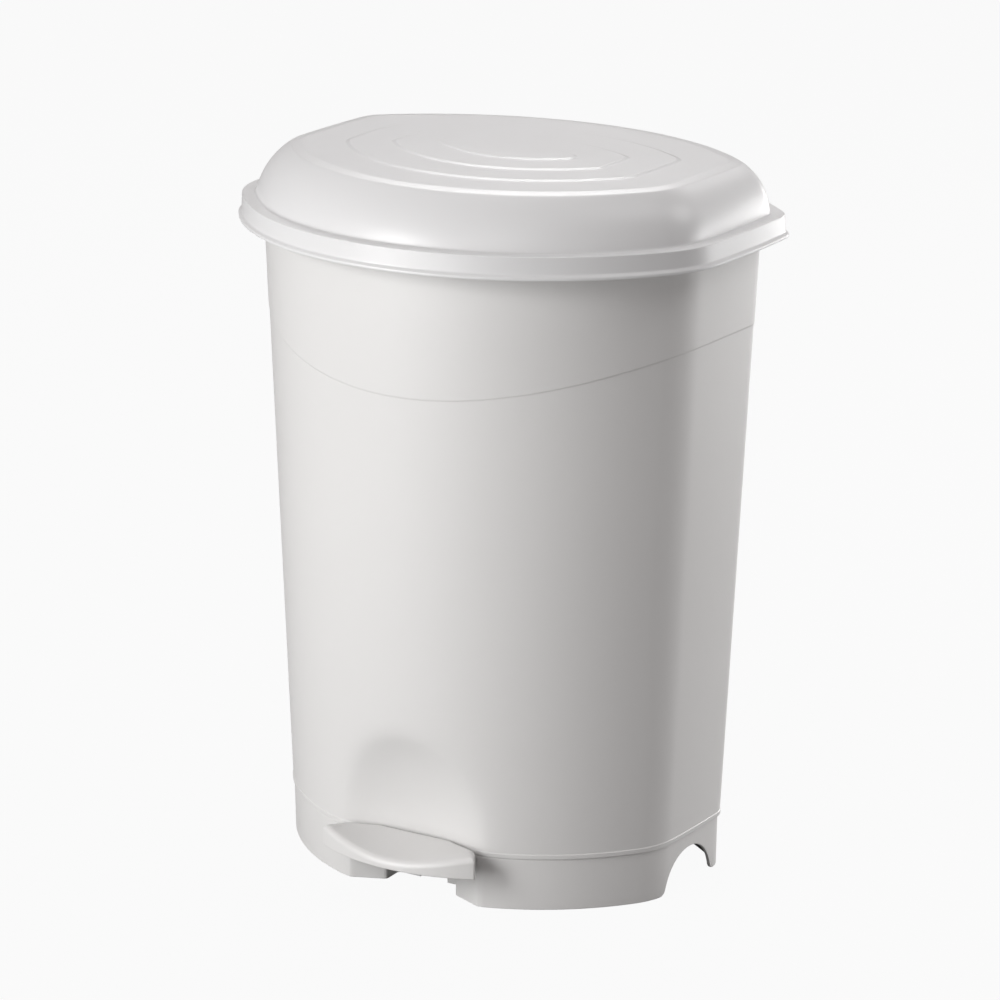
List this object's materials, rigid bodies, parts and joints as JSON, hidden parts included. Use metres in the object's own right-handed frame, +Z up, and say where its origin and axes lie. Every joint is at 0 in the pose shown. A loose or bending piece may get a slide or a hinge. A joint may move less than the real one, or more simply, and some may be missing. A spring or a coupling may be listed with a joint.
{
  "type": "pedal trash can",
  "caption": "Domed-lid pedal trash can in white plastic with a lift-out inner bucket; the pedal lever and a rear push rod raise the hinged lid.",
  "frame": {"origin": "centre of the footprint's bounding box, on the floor", "axes": "+Z up, -Y towards the pedal and the user, +Y towards the lid hinge"},
  "size_m": [0.3948, 0.3262, 0.5289],
  "materials": {
    "body_plastic": "satin",
    "lid_plastic": "satin",
    "bucket_plastic": "matte",
    "moulded_parts": "matte",
    "steel_wire": "zinc plated",
    "screw_steel": "zinc plated",
    "soft_rubber": "matte"
  },
  "bodies": {
    "can": {"outer_body": "body_plastic", "base_plinth": "body_plastic", "base_screws": "screw_steel", "hinge_bracket": "moulded_parts", "bracket_screws": "screw_steel", "hinge_pin": "steel_wire", "pedal_axle": "steel_wire", "axle_clips": "steel_wire", "rod_guide_lower": "moulded_parts", "rod_guide_middle": "moulded_parts", "rod_guide_upper": "moulded_parts"},
    "lid": {"lid_shell": "lid_plastic", "lid_hinge_carrier": "moulded_parts", "carrier_screws": "screw_steel", "lid_buffers": "soft_rubber"},
    "pedal": {"pedal_plate": "body_plastic", "pedal_lever": "moulded_parts", "pedal_screws": "screw_steel"},
    "lift_rod": {"push_rod": "steel_wire", "rod_foot": "moulded_parts", "rod_head": "moulded_parts"},
    "bucket": {"inner_bucket": "bucket_plastic"},
    "bail": {"bucket_bail": "steel_wire", "bail_grip": "bucket_plastic"}
  },
  "joints": [
    {"name": "lid_hinge", "type": "hinge", "parent": "can", "child": "lid", "pos_m": [0, 0.149, 0.4805], "axis": [-1, 0, 0], "range_deg": [0, 75]},
    {"name": "pedal_pivot", "type": "hinge", "parent": "can", "child": "pedal", "pos_m": [0, -0.0265, 0.025], "axis": [1, 0, 0], "range_deg": [0, 11.7]},
    {"name": "rod_slide", "type": "slide", "parent": "can", "child": "lift_rod", "axis": [0, 0.055, 0.9985], "range_m": [0, 0.0269]},
    {"name": "bucket_lift", "type": "slide", "parent": "can", "child": "bucket", "axis": [0, 0, 1], "range_m": [0, 0.008]},
    {"name": "bail_hinge", "type": "hinge", "parent": "bucket", "child": "bail", "pos_m": [0, 0, 0.468], "axis": [-1, 0, 0], "range_deg": [0, 12]}
  ],
  "couplings": [
    {"joint": "pedal_pivot", "follows": "lid_hinge", "ratio": 0.15588},
    {"joint": "rod_slide", "follows": "lid_hinge", "m_per_rad": 0.020494}
  ]
}
